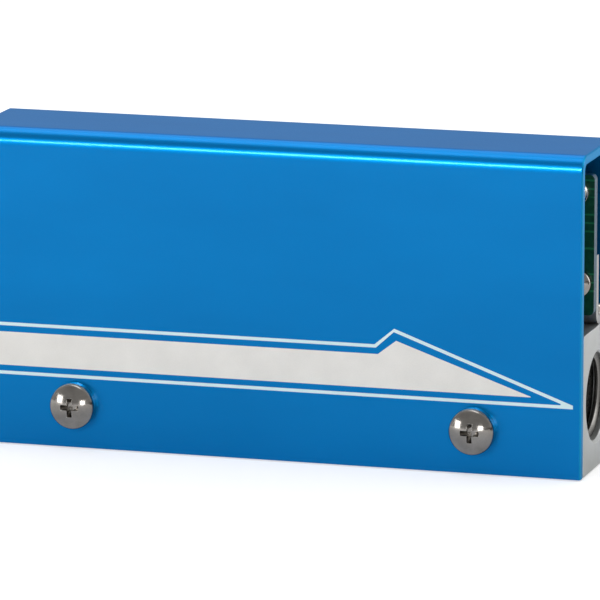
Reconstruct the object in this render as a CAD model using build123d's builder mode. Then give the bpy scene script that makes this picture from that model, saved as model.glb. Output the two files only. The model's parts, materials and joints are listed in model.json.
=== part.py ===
from build123d import *
from math import atan2, degrees, hypot
import os

# A thermal mass flow meter: a machined flow block with a sensor and a circuit board under a folded cover.
# Millimetres. The origin is the middle of the underside. +X is the way the gas flows, -Y is the front face.

# Overall
length = 94.5
depth = 20.0
height = 48.0

# Folded cover
sheet = 1.5
bend_radius = 2.5
sheet_deburr = 0.2
cover_fit = 0.05
cover_screw_spacing = length * 0.656
cover_screw_height = 6.5

# Flow block
block_height = 21.2
block_chamfer = 0.4
port_height = 10.6
port_thread_radius = 6.58
port_mouth_radius = 7.0
port_depth = 11.0
port_cone = 1.5
bore_radius = 4.0
outlet_bore_radius = 3.3

# Screws, by size of thread
m4_radius = 2.0
m4_head_radius = 3.5
m4_head_height = 2.6
m4_length = 5.0
m25_radius = 1.25
m25_head_radius = 2.25
m25_head_height = 1.7
m25_length = 5.0
crown_share = 0.42
rim_share = 0.3
recess_depth_share = 0.6
recess_radius_share = 0.45
recess_wing_share = 0.5
recess_floor_share = 0.4
point_share = 0.2
clearance_hole = 0.25
thread_play = 0.05
hole_bottom_play = 0.5

# Mounting holes in the underside
mount_spacing = 50.0
mount_hole_depth = 5.0

# Bypass element, screen and ring in the bore
element_length = length * 0.423
element_fit = 0.05
flute_count = 16
flute_width = 0.7
flute_depth = 1.1
screen_thickness = 0.6
screen_hole_radius = 0.42
screen_inner_share = 0.34
screen_outer_share = 0.66
ring_thickness = 0.8
ring_groove_depth = 0.3
ring_section = 0.9
ring_gap_width = 2.4
ring_lug_radius = 0.95
ring_lug_hole = 0.4

# Sensor
leg_spacing = length * 0.254
sensor_offset = 4.2
passage_radius = 1.0
base_width = 7.6
base_height = 5.0
base_corner = 1.2
base_end_room = 3.5
base_screw_length = 8.0
socket_head_height = 2.5
socket_radius = 1.15
socket_depth = 1.2
seal_inner_radius = 1.75
seal_section = 1.2
seal_height = 0.85
seal_play = 0.05
seal_edge = 0.3
tube_radius = 0.45
tube_wall = 0.1
tube_bend = 3.0
tube_foot = 1.5
winding_radius = 1.0
winding_gap = 2.0
winding_end_room = 1.0
winding_fit = 0.02
cap_end_room = 3.0
cap_width = 6.6
cap_rise_share = 0.69
tube_rise_share = 0.75
cap_wall = 0.7
cap_corner = 1.4
cap_step = 0.8
window_end_room = 2.0
window_height = 2.4

# Circuit board
board_end_play = 0.3
board_thickness = 1.6
board_setback = 8.4
board_gap_below = 1.8
board_gap_above = 4.0
board_corner = 0.8
outlet_hole_inset = 2.6
inlet_hole_inset = 16.0
board_hole_height = 4.8
lead_radius = 0.2
lead_hole_radius = 0.35
lead_drop = 1.6
lead_tail = 0.6

# Brackets that hold the board on the block
bracket_sheet = 1.2
bracket_bend = 1.2
bracket_width = 5.2
bracket_rise = 10.5
bracket_reach = 8.4
bracket_hole_reach = 5.4

# Connector at the inlet end of the board
pin_count = 6
pin_pitch_share = 0.119
pin_side = 0.64
pin_tail = 0.9
pin_hole_play = 0.12
shell_depth = 9.2
shell_thickness = 6.0
shell_wall = 0.9
shell_back = 2.0
shell_end_room = 1.5
shell_inset = 0.2
key_width = 3.0
pin_mouth_gap = 1.5

# Parts soldered to the board
chip_standoff = 0.15
controller_side = 7.0
controller_thickness = 1.1
controller_pitch = 0.8
controller_leads = 8
lead_strip = 0.16
lead_width = 0.35
lead_reach = 1.0
lead_root = 0.3
amplifier_length = 4.9
amplifier_width = 3.9
amplifier_thickness = 1.5
amplifier_pitch = 1.27
amplifier_leads = 4
regulator_length = 6.5
regulator_width = 3.5
regulator_thickness = 1.6
can_radius = 2.5
can_height = 4.6
can_base_side = 5.3
can_base_height = 0.9
can_groove = 0.25
crystal_length = 10.5
crystal_width = 3.6
crystal_height = 2.6
crystal_flange = 0.35
crystal_flange_height = 0.4
crystal_end_room = 0.9
inductor_side = 5.2
inductor_height = 2.8
chip_length = 2.0
chip_width = 1.25
chip_height = 0.5
capacitor_height = 0.9

# Worked out from the sizes above
half_length = length / 2
half_depth = depth / 2
block_depth = depth - 2 * sheet - 2 * cover_fit
block_face = block_depth / 2
cover_hole_radius = m4_radius + clearance_hole
small_hole_radius = m25_radius + clearance_hole
small_tapped_radius = m25_radius + thread_play
element_radius = bore_radius - element_fit
element_stop = element_length / 2
ring_groove_radius = bore_radius + ring_groove_depth
board_face = board_setback - half_depth
board_back = board_face + board_thickness
board_length = length - 2 * board_end_play
board_end = board_length / 2
board_bottom = block_height + board_gap_below
board_top = height - board_gap_above
board_height = board_top - board_bottom
base_top = block_height + base_height
cap_length = leg_spacing + 2 * cap_end_room
cap_height = (height - sheet - base_top) * cap_rise_share
base_screw_spacing = cap_length + 2 * base_end_room
base_length = base_screw_spacing + 2 * base_end_room
tube_top = base_top + cap_height * tube_rise_share
winding_start = winding_gap / 2
winding_end = leg_spacing / 2 - tube_bend - winding_end_room
winding_length = winding_end - winding_start
window_length = 2 * (winding_end + window_end_room)
pin_pitch = board_height * pin_pitch_share
shell_height = (board_bottom + board_top) / 2
bore_axis = Axis((0, 0, port_height), (1, 0, 0))
cover_screw_xs = (-cover_screw_spacing / 2, cover_screw_spacing / 2)
bracket_xs = (-board_end + inlet_hole_inset, board_end - outlet_hole_inset)
board_hole_z = board_bottom + board_hole_height
bracket_hole_y = board_back + bracket_hole_reach


def facing(x, y, z, way):
    """A plane at (x, y, z) whose normal points the given way along Y."""
    return Plane(origin=(x, y, z), x_dir=(1, 0, 0), z_dir=(0, way, 0))


def on_board(x, z):
    """A plane on the board's front face, facing the front cover wall."""
    return facing(x, board_face, z, -1)


def phillips_pan_screw(shank_radius, shank_length, head_radius, head_height):
    """A pan head screw that stands on the XY plane, head up, with a cross recess."""
    crown = head_height * crown_share
    crown_radius = (head_radius**2 + crown**2) / (2 * crown)
    crown_middle = head_height - crown_radius + (crown_radius**2 - head_radius**2 / 4) ** 0.5
    recess_depth = head_height * recess_depth_share
    recess_radius = head_radius * recess_radius_share
    wing_width = recess_radius * recess_wing_share
    with BuildPart() as recess:
        with BuildSketch(Plane.XY.offset(head_height - recess_depth)):
            Rectangle(2 * recess_radius, wing_width)
            Rectangle(wing_width, 2 * recess_radius)
        extrude(amount=recess_depth)
        with Locations((0, 0, head_height - recess_depth / 2)):
            Cone(recess_radius * recess_floor_share, recess_radius, recess_depth, mode=Mode.INTERSECT)
    with BuildPart() as screw:
        with BuildSketch(Plane.XZ) as profile:
            with BuildLine():
                Polyline(
                    (0, head_height),
                    (0, -shank_length),
                    (shank_radius * (1 - point_share), -shank_length),
                    (shank_radius, -shank_length + shank_radius * point_share),
                    (shank_radius, 0),
                    (head_radius, 0),
                    (head_radius, head_height - crown),
                )
                ThreePointArc(
                    (head_radius, head_height - crown),
                    (head_radius / 2, crown_middle),
                    (0, head_height),
                )
            make_face()
            rim = profile.vertices().sort_by_distance((head_radius, head_height - crown))[0]
            fillet(rim, radius=head_height * rim_share)
        revolve(axis=Axis.Z)
        add(recess.part, mode=Mode.SUBTRACT)
    return screw.part


m4_screw = phillips_pan_screw(m4_radius, m4_length, m4_head_radius, m4_head_height)
m25_screw = phillips_pan_screw(m25_radius, m25_length, m25_head_radius, m25_head_height)

# Cover: one sheet folded into an upside-down U, open at both ends, with four screw holes
with BuildPart() as cover:
    with BuildSketch(Plane.YZ.offset(-half_length)):
        with BuildLine():
            FilletPolyline(
                (-half_depth + sheet / 2, 0),
                (-half_depth + sheet / 2, height - sheet / 2),
                (half_depth - sheet / 2, height - sheet / 2),
                (half_depth - sheet / 2, 0),
                radius=bend_radius - sheet / 2,
            )
        trace(line_width=sheet)
    extrude(amount=length)
    end_faces = cover.faces().filter_by(Axis.X)
    chamfer(end_faces.edges().filter_by(lambda edge: edge.length > sheet * 1.01), length=sheet_deburr)
    with Locations(*[facing(x, 0, cover_screw_height, -1) for x in cover_screw_xs]):
        Cylinder(cover_hole_radius, 2 * depth, mode=Mode.SUBTRACT)

# Cover screws: two in the front wall and two in the back wall
with BuildPart() as cover_screws:
    with Locations(*[facing(x, way * half_depth, cover_screw_height, way) for x in cover_screw_xs for way in (-1, 1)]):
        add(m4_screw)

# Flow block: bored from end to end, tapped at both ends, drilled up to the sensor
ring_end = -element_stop - screen_thickness
ring_start = ring_end - ring_thickness
passage_length = hypot(sensor_offset, block_height - port_height)
with BuildPart() as flow_block:
    with BuildSketch(Plane.XY):
        Rectangle(length, block_depth)
    extrude(amount=block_height)
    chamfer(flow_block.edges().filter_by(Axis.X), length=block_chamfer)
    with BuildSketch(Plane.XZ):
        with BuildLine():
            Polyline(
                (-half_length, port_height),
                (-half_length, port_height + port_mouth_radius),
                (-half_length + port_mouth_radius - port_thread_radius, port_height + port_thread_radius),
                (-half_length + port_depth, port_height + port_thread_radius),
                (-half_length + port_depth + port_cone, port_height + bore_radius),
                (ring_start, port_height + bore_radius),
                (ring_start, port_height + ring_groove_radius),
                (ring_end, port_height + ring_groove_radius),
                (ring_end, port_height + bore_radius),
                (element_stop, port_height + bore_radius),
                (element_stop, port_height + outlet_bore_radius),
                (half_length - port_depth - port_cone, port_height + outlet_bore_radius),
                (half_length - port_depth, port_height + port_thread_radius),
                (half_length - port_mouth_radius + port_thread_radius, port_height + port_thread_radius),
                (half_length, port_height + port_mouth_radius),
                (half_length, port_height),
                close=True,
            )
        make_face()
    revolve(axis=bore_axis, mode=Mode.SUBTRACT)
    for x in (-leg_spacing / 2, leg_spacing / 2):
        with BuildSketch(
            Plane(origin=(x, sensor_offset, block_height), z_dir=(0, -sensor_offset, port_height - block_height))
        ):
            Circle(passage_radius)
        extrude(amount=passage_length, both=True, mode=Mode.SUBTRACT)
    with Locations(*[facing(x, way * block_face, cover_screw_height, way) for x in cover_screw_xs for way in (-1, 1)]):
        Hole(m4_radius + thread_play, m4_length - sheet + hole_bottom_play)
    with Locations(Plane.XY.offset(block_height)):
        with Locations((-base_screw_spacing / 2, sensor_offset), (base_screw_spacing / 2, sensor_offset)):
            Hole(small_tapped_radius, base_screw_length - base_height + hole_bottom_play)
        with Locations(*[(x, bracket_hole_y) for x in bracket_xs]):
            Hole(small_tapped_radius, m25_length - bracket_sheet + hole_bottom_play)
    with Locations(Plane.XY.rotated((180, 0, 0))):
        with GridLocations(mount_spacing, 0, 2, 1):
            Hole(m4_radius, mount_hole_depth)

# Bypass element: a plug with long flutes that split the gas into many thin streams
with BuildPart() as bypass_element:
    with BuildSketch(Plane.YZ.offset(-element_stop)):
        with Locations((0, port_height)):
            Circle(element_radius)
            with PolarLocations(element_radius, flute_count, start_angle=90):
                Rectangle(2 * flute_depth, flute_width, mode=Mode.SUBTRACT)
    extrude(amount=element_length)

# Inlet screen: a thin perforated disc against the upstream end of the bypass element
with BuildPart() as inlet_screen:
    with BuildSketch(Plane.YZ.offset(ring_end)):
        with Locations((0, port_height)):
            Circle(element_radius)
            Circle(screen_hole_radius, mode=Mode.SUBTRACT)
            with PolarLocations(element_radius * screen_inner_share, 6):
                Circle(screen_hole_radius, mode=Mode.SUBTRACT)
            with PolarLocations(element_radius * screen_outer_share, 12):
                Circle(screen_hole_radius, mode=Mode.SUBTRACT)
    extrude(amount=screen_thickness)

# Retaining ring: an open spring ring with two plier lugs, in a groove of the bore
ring_outer_radius = ring_groove_radius - element_fit
ring_inner_radius = ring_outer_radius - ring_section
with BuildPart() as retaining_ring:
    with BuildSketch(Plane.YZ.offset(ring_start + element_fit)):
        with Locations((0, port_height)):
            Circle(ring_outer_radius)
            Circle(ring_inner_radius, mode=Mode.SUBTRACT)
            with Locations((0, ring_outer_radius)):
                Rectangle(ring_gap_width, 2 * ring_outer_radius - ring_section, mode=Mode.SUBTRACT)
            lug_angle = degrees(atan2(ring_gap_width / 2 + ring_lug_radius * 0.8, ring_inner_radius))
            for side in (-1, 1):
                with PolarLocations(ring_outer_radius - ring_lug_radius, 1, start_angle=90 + side * lug_angle):
                    Circle(ring_lug_radius)
                    Circle(ring_lug_hole, mode=Mode.SUBTRACT)
    extrude(amount=ring_thickness - 2 * element_fit)

# Sensor base: carries the sensor tube and the cap, sealed to the block
sensor_centre = (0, sensor_offset)
leg_places = ((-leg_spacing / 2, sensor_offset), (leg_spacing / 2, sensor_offset))
with BuildPart() as sensor_base:
    with BuildSketch(Plane.XY.offset(block_height)):
        with Locations(sensor_centre):
            RectangleRounded(base_length, base_width, base_corner)
    extrude(amount=base_height)
    with BuildSketch(Plane.XY.offset(base_top)):
        with Locations(sensor_centre):
            RectangleRounded(
                cap_length - 2 * cap_wall - 2 * thread_play,
                cap_width - 2 * cap_wall - 2 * thread_play,
                cap_corner - cap_wall,
            )
    extrude(amount=cap_step)
    with Locations(Plane.XY.offset(base_top)):
        with Locations((-base_screw_spacing / 2, sensor_offset), (base_screw_spacing / 2, sensor_offset)):
            Hole(small_hole_radius, base_height)
    with BuildSketch(Plane.XY.offset(block_height)):
        with Locations(*leg_places):
            Circle(tube_radius + thread_play)
    extrude(amount=base_height + cap_step, mode=Mode.SUBTRACT)
    with BuildSketch(Plane.XY.offset(block_height)):
        with Locations(*leg_places):
            Circle(passage_radius)
    extrude(amount=tube_foot, mode=Mode.SUBTRACT)
    with BuildSketch(Plane.XY.offset(block_height)):
        with Locations(*leg_places):
            Circle(seal_inner_radius + seal_section + seal_play)
            Circle(seal_inner_radius - seal_play, mode=Mode.SUBTRACT)
    extrude(amount=seal_height, mode=Mode.SUBTRACT)

# Sensor seals: two rubber rings squeezed flat between the sensor base and the block
with BuildPart() as sensor_seals:
    with BuildSketch(Plane.XY.offset(block_height)):
        with Locations(*leg_places):
            Circle(seal_inner_radius + seal_section)
            Circle(seal_inner_radius, mode=Mode.SUBTRACT)
    extrude(amount=seal_height)
    chamfer(sensor_seals.edges(), length=seal_edge)

# Sensor tube: a thin bent tube that a share of the gas runs through
with BuildPart() as sensor_tube:
    with BuildLine():
        tube_line = FilletPolyline(
            (-leg_spacing / 2, sensor_offset, block_height + tube_foot),
            (-leg_spacing / 2, sensor_offset, tube_top),
            (leg_spacing / 2, sensor_offset, tube_top),
            (leg_spacing / 2, sensor_offset, block_height + tube_foot),
            radius=tube_bend,
        )
    with BuildSketch(Plane.XY.offset(block_height + tube_foot)):
        with Locations((-leg_spacing / 2, sensor_offset)):
            Circle(tube_radius)
            Circle(tube_radius - tube_wall, mode=Mode.SUBTRACT)
    sweep(path=tube_line)

# Heater windings round the level run of the sensor tube, one each side of the middle
windings = {}
for name, start in (("upstream_winding", -winding_end), ("downstream_winding", winding_start)):
    with BuildPart() as winding:
        with BuildSketch(Plane.YZ.offset(start)):
            with Locations((sensor_offset, tube_top)):
                Circle(winding_radius)
                Circle(tube_radius + winding_fit, mode=Mode.SUBTRACT)
        extrude(amount=winding_length)
        rims = winding.edges().filter_by(GeomType.CIRCLE).filter_by(lambda e: e.radius > tube_radius + winding_fit * 2)
        chamfer(rims, length=winding_radius * 0.2)
    windings[name] = winding.part

# Sensor leads: four wires from the windings, through the cap's window, into the board
lead_xs = (-winding_end + winding_radius, -winding_start - winding_radius)
lead_xs = lead_xs + (winding_start + winding_radius, winding_end - winding_radius)
lead_z = tube_top - winding_radius - lead_drop
with BuildPart() as sensor_leads:
    for x in lead_xs:
        with BuildLine():
            wire_line = FilletPolyline(
                (x, sensor_offset, tube_top - winding_radius),
                (x, sensor_offset, lead_z),
                (x, board_face - lead_tail, lead_z),
                radius=lead_drop * 0.6,
            )
        with BuildSketch(Plane.XY.offset(tube_top - winding_radius)):
            with Locations((x, sensor_offset)):
                Circle(lead_radius)
        sweep(path=wire_line)

# Sensor cap: a drawn can over the sensor tube, with a window for the leads
with BuildPart() as sensor_cap:
    with BuildSketch(Plane.XY.offset(base_top)):
        with Locations(sensor_centre):
            RectangleRounded(cap_length, cap_width, cap_corner)
    extrude(amount=cap_height)
    fillet(sensor_cap.faces().sort_by(Axis.Z)[-1].edges(), radius=cap_corner * 0.85)
    offset(amount=-cap_wall, openings=sensor_cap.faces().sort_by(Axis.Z)[0])
    with BuildSketch(facing(0, sensor_offset, lead_z, -1)):
        SlotOverall(window_length, window_height)
    extrude(amount=base_width, mode=Mode.SUBTRACT)

# Sensor screws: two socket head screws that clamp the sensor base to the block
with BuildPart() as socket_screw:
    Cylinder(m25_radius, base_screw_length, align=(Align.CENTER, Align.CENTER, Align.MAX))
    Cylinder(m25_head_radius, socket_head_height, align=(Align.CENTER, Align.CENTER, Align.MIN))
    chamfer(socket_screw.faces().sort_by(Axis.Z)[-1].edges(), length=m25_head_radius * 0.12)
    with BuildSketch(Plane.XY.offset(socket_head_height)):
        RegularPolygon(socket_radius, 6)
    extrude(amount=-socket_depth, mode=Mode.SUBTRACT)
with BuildPart() as sensor_screws:
    with Locations(Plane.XY.offset(base_top)):
        with Locations((-base_screw_spacing / 2, sensor_offset), (base_screw_spacing / 2, sensor_offset)):
            add(socket_screw.part)

# Circuit board: upright behind the front wall, with its screw, pin and lead holes
pin_zs = [shell_height + (n - (pin_count - 1) / 2) * pin_pitch for n in range(pin_count)]
shell_mouth = -half_length + shell_inset
pin_column = shell_mouth + shell_depth + pin_tail
with BuildPart() as circuit_board:
    with BuildSketch(on_board(0, shell_height)):
        RectangleRounded(board_length, board_height, board_corner)
    extrude(amount=-board_thickness)
    with Locations(*[on_board(x, board_hole_z) for x in bracket_xs]):
        Hole(small_hole_radius, board_thickness)
    with Locations(*[on_board(pin_column, z) for z in pin_zs]):
        Hole(pin_side / 2 + pin_hole_play * 2, board_thickness)
    with Locations(*[on_board(x, lead_z) for x in lead_xs]):
        Hole(lead_hole_radius, board_thickness)

# Brackets: bent angles from the block's top up to the back of the board
brackets = {}
for name, bracket_x in zip(("inlet_bracket", "outlet_bracket"), bracket_xs):
    with BuildPart() as bracket:
        with BuildSketch(Plane.YZ.offset(bracket_x - bracket_width / 2)):
            with BuildLine():
                FilletPolyline(
                    (board_back + bracket_sheet / 2, block_height + bracket_rise),
                    (board_back + bracket_sheet / 2, block_height + bracket_sheet / 2),
                    (board_back + bracket_reach, block_height + bracket_sheet / 2),
                    radius=bracket_bend,
                )
            trace(line_width=bracket_sheet)
        extrude(amount=bracket_width)
        with Locations(facing(bracket_x, board_back, board_hole_z, -1)):
            Hole(small_tapped_radius, bracket_sheet)
        with Locations(Plane(origin=(bracket_x, bracket_hole_y, block_height + bracket_sheet))):
            Hole(small_hole_radius, bracket_sheet)
    brackets[name] = bracket.part

# Bracket screws stand in the block, board screws lie through the board into the brackets
with BuildPart() as bracket_screws:
    with Locations(Plane.XY.offset(block_height + bracket_sheet)):
        with Locations(*[(x, bracket_hole_y) for x in bracket_xs]):
            add(m25_screw)
with BuildPart() as board_screws:
    with Locations(*[on_board(x, board_hole_z) for x in bracket_xs]):
        add(m25_screw)

# Connector: a shrouded header on the board, its mouth at the inlet end
shell_span = (pin_count - 1) * pin_pitch + 2 * shell_end_room + 2 * shell_wall
shell_middle_y = board_face - shell_thickness / 2
shell_plane = Plane(origin=(shell_mouth, shell_middle_y, shell_height), x_dir=(0, 0, 1), z_dir=(1, 0, 0))
with BuildPart() as connector_shell:
    with BuildSketch(shell_plane):
        Rectangle(shell_span, shell_thickness)
    extrude(amount=shell_depth)
    with BuildSketch(shell_plane):
        Rectangle(shell_span - 2 * shell_wall, shell_thickness - 2 * shell_wall)
    extrude(amount=shell_depth - shell_back, mode=Mode.SUBTRACT)
    with BuildSketch(facing(shell_mouth, board_face - shell_thickness + shell_wall, shell_height, -1)):
        Rectangle(shell_depth, key_width, align=(Align.CENTER, Align.CENTER))
    extrude(amount=shell_wall, mode=Mode.SUBTRACT)
    with BuildSketch(shell_plane):
        with GridLocations(pin_pitch, 0, pin_count, 1):
            Rectangle(pin_side + 2 * thread_play, pin_side + 2 * thread_play)
    extrude(amount=shell_depth, mode=Mode.SUBTRACT)

# Connector pins: square pins that turn from the shell into the board
pin_start = shell_mouth + pin_mouth_gap
with BuildPart() as connector_pins:
    for z in pin_zs:
        with BuildSketch(Plane.XY.offset(z - pin_side / 2)):
            with BuildLine():
                FilletPolyline(
                    (pin_start, shell_middle_y),
                    (pin_column, shell_middle_y),
                    (pin_column, board_back + pin_tail),
                    radius=pin_side,
                )
            trace(line_width=pin_side)
        extrude(amount=pin_side)

# Places of the soldered parts, as shares of the board's half length from its middle and of its height
def board_place(along, up):
    """A place on the board's front face, as (x, z)."""
    return (along * board_end, board_bottom + up * board_height)


controller_place = board_place(0.362, 0.476)
amplifier_places = (board_place(-0.277, 0.738), board_place(-0.277, 0.262))
regulator_place = board_place(-0.458, 0.276)
can_places = (board_place(-0.628, 0.786), board_place(0.735, 0.476))
crystal_place = (board_end - crystal_length / 2 - crystal_end_room, board_top - crystal_width / 2 - crystal_end_room)
inductor_place = board_place(-0.458, 0.738)
resistor_places = [board_place(along, up) for along in (-0.117, -0.043, 0.032, 0.107) for up in (0.19, 0.714, 0.857)]
capacitor_places = [board_place(along, up) for along in (0.543, 0.618) for up in (0.238, 0.381, 0.714)]
capacitor_places += [board_place(along, 0.919) for along in (0.298, 0.383)]


def gull_wing_lead(body_half, thickness):
    """One flat lead that steps from the side of a chip down to the board, along +X from the body's side."""
    with BuildPart() as lead:
        with BuildSketch(Plane.XZ):
            with BuildLine():
                Polyline(
                    (body_half - lead_root, chip_standoff + thickness / 2),
                    (body_half + lead_reach * 0.4, chip_standoff + thickness / 2),
                    (body_half + lead_reach * 0.55, lead_strip / 2),
                    (body_half + lead_reach, lead_strip / 2),
                )
            trace(line_width=lead_strip)
        extrude(amount=lead_width / 2, both=True)
    return lead.part


def chip_body(x_size, y_size, thickness):
    """A moulded chip body with sloping sides, on the XY plane with its standoff."""
    with BuildPart() as body:
        with BuildSketch(Plane.XY.offset(chip_standoff + thickness / 2)):
            Rectangle(x_size, y_size)
        extrude(amount=thickness / 2, both=True, taper=7)
    return body.part


# Controller chip: a square chip with leads on four sides
controller_lead = gull_wing_lead(controller_side / 2, controller_thickness)
controller_body = chip_body(controller_side, controller_side, controller_thickness)
lead_row = [(n - (controller_leads - 1) / 2) * controller_pitch for n in range(controller_leads)]
with BuildPart() as controller_chip:
    with Locations(on_board(*controller_place)):
        add(controller_body)
        for turn in (0, 90, 180, 270):
            with Locations(Location((0, 0, 0), (0, 0, turn))):
                with Locations(*[(0, offset_along) for offset_along in lead_row]):
                    add(controller_lead)

# Amplifier chips: two small chips with leads on two sides
amplifier_lead = gull_wing_lead(amplifier_width / 2, amplifier_thickness)
amplifier_body = chip_body(amplifier_width, amplifier_length, amplifier_thickness)
lead_row = [(n - (amplifier_leads - 1) / 2) * amplifier_pitch for n in range(amplifier_leads)]
with BuildPart() as amplifier_chips:
    with Locations(*[on_board(*place) for place in amplifier_places]):
        add(amplifier_body)
        for turn in (0, 180):
            with Locations(Location((0, 0, 0), (0, 0, turn))):
                with Locations(*[(0, offset_along) for offset_along in lead_row]):
                    add(amplifier_lead)

# Voltage regulator: a moulded body with three leads and a wide cooling tab
with BuildPart() as voltage_regulator:
    with Locations(on_board(*regulator_place)):
        add(chip_body(regulator_length, regulator_width, regulator_thickness))
        with Locations(Location((0, 0, 0), (0, 0, -90))):
            with Locations(*[(0, n * regulator_length * 0.35) for n in (-1, 0, 1)]):
                add(gull_wing_lead(regulator_width / 2, regulator_thickness))
        with Locations((0, regulator_width / 2 + lead_reach / 2, lead_strip)):
            Box(regulator_length * 0.5, lead_reach * 1.4, 2 * lead_strip)

# Capacitor cans and the plastic bases that they stand on
with BuildPart() as can_base:
    with BuildSketch() as can_base_outline:
        Rectangle(can_base_side, can_base_side)
        chamfer(can_base_outline.vertices().sort_by(Axis.X)[-2:], length=can_base_side * 0.18)
    extrude(amount=can_base_height)
with BuildPart() as capacitor_bases:
    with Locations(*[on_board(*place) for place in can_places]):
        add(can_base.part)
with BuildPart() as can:
    with BuildSketch(Plane.XZ):
        with BuildLine():
            Polyline(
                (0, can_base_height),
                (can_radius, can_base_height),
                (can_radius, can_base_height + can_groove * 2),
                (can_radius - can_groove, can_base_height + can_groove * 3),
                (can_radius, can_base_height + can_groove * 4),
                (can_radius, can_base_height + can_height - can_groove),
                (can_radius - can_groove, can_base_height + can_height),
                (0, can_base_height + can_height),
                close=True,
            )
        make_face()
    revolve(axis=Axis.Z)
with BuildPart() as capacitor_cans:
    with Locations(*[on_board(*place) for place in can_places]):
        add(can.part)

# Crystal: a flat oval metal can on a thin flange
with BuildPart() as crystal:
    with BuildSketch(on_board(*crystal_place)):
        SlotOverall(crystal_length, crystal_width)
    extrude(amount=crystal_flange_height)
    with BuildSketch(on_board(*crystal_place)):
        SlotOverall(crystal_length - 2 * crystal_flange, crystal_width - 2 * crystal_flange)
    extrude(amount=crystal_height)
    fillet(crystal.faces().sort_by(Axis.Y)[0].edges(), radius=crystal_flange)

# Power inductor: a square block with cut corners round a wound middle
with BuildPart() as power_inductor:
    with BuildSketch(on_board(*inductor_place)):
        inductor_outline = Rectangle(inductor_side, inductor_side)
        chamfer(inductor_outline.vertices(), length=inductor_side * 0.16)
    extrude(amount=inductor_height)

# Chip resistors and chip capacitors
with BuildPart() as chip_resistors:
    with Locations(*[on_board(*place) for place in resistor_places]):
        Box(chip_length, chip_width, chip_height, align=(Align.CENTER, Align.CENTER, Align.MIN))
with BuildPart() as chip_capacitors:
    with Locations(*[on_board(*place) for place in capacitor_places]):
        Box(chip_length, chip_width, capacitor_height, align=(Align.CENTER, Align.CENTER, Align.MIN))

pieces = {
    "cover": cover.part,
    "cover_screws": cover_screws.part,
    "flow_block": flow_block.part,
    "bypass_element": bypass_element.part,
    "inlet_screen": inlet_screen.part,
    "retaining_ring": retaining_ring.part,
    "sensor_base": sensor_base.part,
    "sensor_seals": sensor_seals.part,
    "sensor_tube": sensor_tube.part,
    "upstream_winding": windings["upstream_winding"],
    "downstream_winding": windings["downstream_winding"],
    "sensor_leads": sensor_leads.part,
    "sensor_cap": sensor_cap.part,
    "sensor_screws": sensor_screws.part,
    "circuit_board": circuit_board.part,
    "inlet_bracket": brackets["inlet_bracket"],
    "outlet_bracket": brackets["outlet_bracket"],
    "bracket_screws": bracket_screws.part,
    "board_screws": board_screws.part,
    "connector_shell": connector_shell.part,
    "connector_pins": connector_pins.part,
    "controller_chip": controller_chip.part,
    "amplifier_chips": amplifier_chips.part,
    "voltage_regulator": voltage_regulator.part,
    "capacitor_bases": capacitor_bases.part,
    "capacitor_cans": capacitor_cans.part,
    "crystal": crystal.part,
    "power_inductor": power_inductor.part,
    "chip_resistors": chip_resistors.part,
    "chip_capacitors": chip_capacitors.part,
}
os.makedirs("parts", exist_ok=True)
for name, part in pieces.items():
    part.label = name
    export_step(part, f"parts/{name}.step")
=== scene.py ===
import json
from math import pi, radians

import bmesh
import bpy
from mathutils import Matrix, Vector


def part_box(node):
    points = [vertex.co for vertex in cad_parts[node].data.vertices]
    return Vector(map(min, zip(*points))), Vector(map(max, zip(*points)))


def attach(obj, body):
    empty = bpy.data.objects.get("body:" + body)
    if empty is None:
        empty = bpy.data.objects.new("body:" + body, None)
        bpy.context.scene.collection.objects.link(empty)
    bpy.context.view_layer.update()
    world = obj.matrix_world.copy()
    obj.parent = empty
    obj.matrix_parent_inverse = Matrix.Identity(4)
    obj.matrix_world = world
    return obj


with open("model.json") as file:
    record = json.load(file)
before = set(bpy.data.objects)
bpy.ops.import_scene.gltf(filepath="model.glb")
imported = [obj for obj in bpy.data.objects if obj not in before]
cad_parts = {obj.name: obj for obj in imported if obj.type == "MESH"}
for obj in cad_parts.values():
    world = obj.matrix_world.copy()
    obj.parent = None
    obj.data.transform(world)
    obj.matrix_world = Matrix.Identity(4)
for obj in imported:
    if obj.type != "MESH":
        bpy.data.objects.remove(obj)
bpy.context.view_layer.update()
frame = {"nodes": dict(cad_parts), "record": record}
nodes = frame["nodes"]
mounts = {mount["name"]: mount for mount in frame["record"]["mounts"]}
mm = 0.001  # the frame is in metres, sizes here are in millimetres
samePlace = 1e-6  # metres
print("frame loaded:", len(nodes), "nodes")


def boxOf(nodeName):
    # a node's lowest and highest corners, in millimetres
    low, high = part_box(nodeName)
    return Vector(low) / mm, Vector(high) / mm


def deselectAll():
    bpy.ops.object.select_all(action="DESELECT")
    bpy.context.view_layer.objects.active = None


def makeActive(piece):
    deselectAll()
    piece.select_set(True)
    bpy.context.view_layer.objects.active = piece


def editPiece(piece):
    # edit mode, with all of the piece selected
    makeActive(piece)
    bpy.ops.object.mode_set(mode="EDIT")
    bpy.ops.mesh.select_all(action="SELECT")


def endEdit():
    bpy.ops.object.mode_set(mode="OBJECT")


def applyPlace(piece):
    makeActive(piece)
    bpy.ops.object.transform_apply(location=True, rotation=True, scale=True)


def applyModifiers(piece):
    makeActive(piece)
    for modifier in list(piece.modifiers):
        bpy.ops.object.modifier_apply(modifier=modifier.name)


def pickFaces(piece, wanted):
    # in edit mode, selects the faces whose middle and normal pass the test
    mesh = bmesh.from_edit_mesh(piece.data)
    for part in [*mesh.faces, *mesh.edges, *mesh.verts]:
        part.select = False
    for face in mesh.faces:
        if wanted(face.calc_center_median(), face.normal):
            face.select = True
    mesh.select_flush_mode()
    bmesh.update_edit_mesh(piece.data)


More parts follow.
